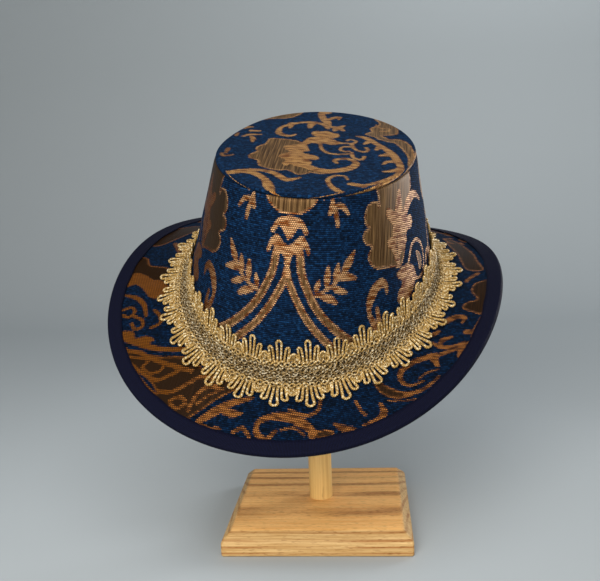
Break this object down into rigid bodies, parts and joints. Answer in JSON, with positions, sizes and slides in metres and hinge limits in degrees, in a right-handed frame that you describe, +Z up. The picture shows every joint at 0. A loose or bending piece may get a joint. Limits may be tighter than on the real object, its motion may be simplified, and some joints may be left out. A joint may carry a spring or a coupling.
{
  "type": "tall hat on a wooden stand",
  "caption": "Tall hat with a tapered oval crown, curled brim, bound edge and gimp braid, covered in scrolling brocade, held forward on a square post stand.",
  "frame": {"origin": "middle of the stand base's flat underside", "axes": "+Z up along the post, -Y the hat's front, +X to the right as the hat is seen from its front"},
  "size_m": [0.2603, 0.2576, 0.2832],
  "materials": {
    "brocade": "blue chenille brocade with bronze and copper scrolling figures",
    "grosgrain": "dark navy ribbed grosgrain tape",
    "gold_gimp": "metallic gold gimp cord",
    "oak": "satin oak with open grain",
    "birch": "pale satin dowel wood"
  },
  "bodies": {
    "root": {"crown_side": "brocade", "crown_tip": "brocade", "brim": "brocade", "brim_binding": "grosgrain", "braid_band": "gold_gimp", "stand_base": "oak", "stand_post": "birch"}
  },
  "joints": []
}
